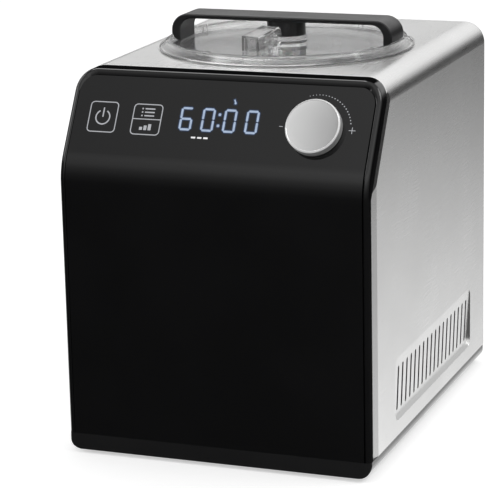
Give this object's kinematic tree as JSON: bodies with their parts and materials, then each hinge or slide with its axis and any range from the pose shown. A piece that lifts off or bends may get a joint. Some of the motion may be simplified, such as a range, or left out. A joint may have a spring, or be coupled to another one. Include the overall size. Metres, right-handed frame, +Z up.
{
  "type": "ice cream maker",
  "caption": "Countertop ice cream maker with a leaning control panel, a clear round lid with a strap handle and hatch, and a steel body over its own compressor.",
  "frame": {"origin": "on the table, under the middle of the body's outline", "axes": "+Z up, -Y towards the control panel, +X to the right as seen from the front"},
  "size_m": [0.24, 0.312, 0.313],
  "materials": {
    "brushed_steel": "brushed along the side",
    "black_gloss": "glossy black",
    "base_plastic": "satin to glossy dark plastic",
    "black_satin": "satin black",
    "clear_plastic": "clear moulded plastic",
    "rubber_black": "matte",
    "rubber_clear": "soft and milky",
    "steel_bright": "plain bright steel",
    "bowl_aluminium": "anodised satin",
    "coil_aluminium": "drawn tube",
    "foam": "rigid foam skin",
    "paddle_plastic": "white satin",
    "nylon": "natural nylon",
    "brass": "turned",
    "copper": "drawn copper tube",
    "galvanised": "galvanised sheet",
    "black_paint": "black enamel",
    "fan_plastic": "dark moulding",
    "knob_metal": "spun satin face",
    "board_green": "solder mask",
    "component_black": "moulded components"
  },
  "bodies": {
    "housing": {"steel_shell": "brushed_steel", "front_frame": "black_gloss", "front_panel": "black_gloss", "base_tray": "base_plastic", "feet": "rubber_black", "rear_cover": "black_satin", "rear_screws": "steel_bright", "power_inlet": "black_satin", "inlet_pins": "brass", "cooling_drum": "bowl_aluminium", "evaporator_coil": "coil_aluminium", "insulation_jacket": "foam", "well_collar": "black_satin", "drum_deck": "galvanised", "drum_bush": "brass", "spindle_seal": "rubber_black", "idler_axle": "steel_bright", "gear_box": "nylon", "gear_box_lid": "nylon", "mixer_motor": "galvanised", "compressor": "black_paint", "compressor_mounts": "rubber_black", "condenser": "black_paint", "fan_frame": "black_satin", "filter_drier": "copper", "suction_pipe": "copper", "discharge_pipe": "copper", "liquid_pipe": "copper", "return_pipe": "copper", "knob_encoder": "black_satin", "display_module": "black_satin", "control_board": "board_green", "board_standoffs": "brass", "power_standoffs": "brass", "power_board": "board_green", "power_components": "component_black"},
    "bowl": {"ice_bowl": "bowl_aluminium", "bail_pins": "steel_bright"},
    "bail": {"bowl_bail": "steel_bright"},
    "lid": {"lid": "clear_plastic", "lid_gasket": "rubber_clear", "lid_handle": "black_satin", "hatch_pin": "steel_bright"},
    "hatch": {"hatch_flap": "clear_plastic"},
    "paddle": {"mixing_paddle": "paddle_plastic"},
    "spindle": {"drive_spindle": "steel_bright", "drive_gear": "nylon"},
    "idler": {"idler_gear": "nylon"},
    "motor_rotor": {"motor_pinion": "brass", "motor_shaft": "steel_bright"},
    "fan": {"fan_rotor": "fan_plastic"},
    "knob": {"control_knob": "knob_metal", "encoder_shaft": "knob_metal"}
  },
  "joints": [
    {"name": "bowl_lift", "type": "slide", "parent": "housing", "child": "bowl", "axis": [0, 0, 1], "range_m": [0, 0.15]},
    {"name": "lid_lift", "type": "slide", "parent": "bowl", "child": "lid", "axis": [0, 0, 1], "range_m": [0, 0.14]},
    {"name": "bail_raise", "type": "hinge", "parent": "bowl", "child": "bail", "pos_m": [0, 0.012, 0.2844], "axis": [1, 0, 0], "range_deg": [0, 90]},
    {"name": "hatch_open", "type": "hinge", "parent": "lid", "child": "hatch", "pos_m": [-0.00515, -0.0145, 0.3005], "axis": [-0.9816, 0.1908, 0], "range_deg": [0, 75]},
    {"name": "paddle_spin", "type": "hinge", "parent": "bowl", "child": "paddle", "pos_m": [0, 0.012, 0.21], "axis": [0, 0, 1], "continuous": true},
    {"name": "spindle_spin", "type": "hinge", "parent": "housing", "child": "spindle", "pos_m": [0, 0.012, 0.12], "axis": [0, 0, 1], "continuous": true},
    {"name": "idler_spin", "type": "hinge", "parent": "housing", "child": "idler", "pos_m": [-0.01898, -0.04015, 0.13], "axis": [0, 0, 1], "continuous": true},
    {"name": "motor_spin", "type": "hinge", "parent": "housing", "child": "motor_rotor", "pos_m": [-0.00734, -0.08362, 0.13], "axis": [0, 0, 1], "continuous": true},
    {"name": "fan_spin", "type": "hinge", "parent": "housing", "child": "fan", "pos_m": [0.0705, 0.011, 0.052], "axis": [1, 0, 0], "continuous": true},
    {"name": "knob_turn", "type": "hinge", "parent": "housing", "child": "knob", "pos_m": [0.0736, -0.13459, 0.25563], "axis": [0, -0.8513, 0.5247], "continuous": true}
  ],
  "couplings": [
    {"joint": "bail_raise", "follows": "lid_lift", "rad_per_m": 11.2},
    {"joint": "spindle_spin", "follows": "idler_spin", "ratio": -0.23333},
    {"joint": "paddle_spin", "follows": "idler_spin", "ratio": -0.23333},
    {"joint": "motor_spin", "follows": "idler_spin", "ratio": -4}
  ]
}
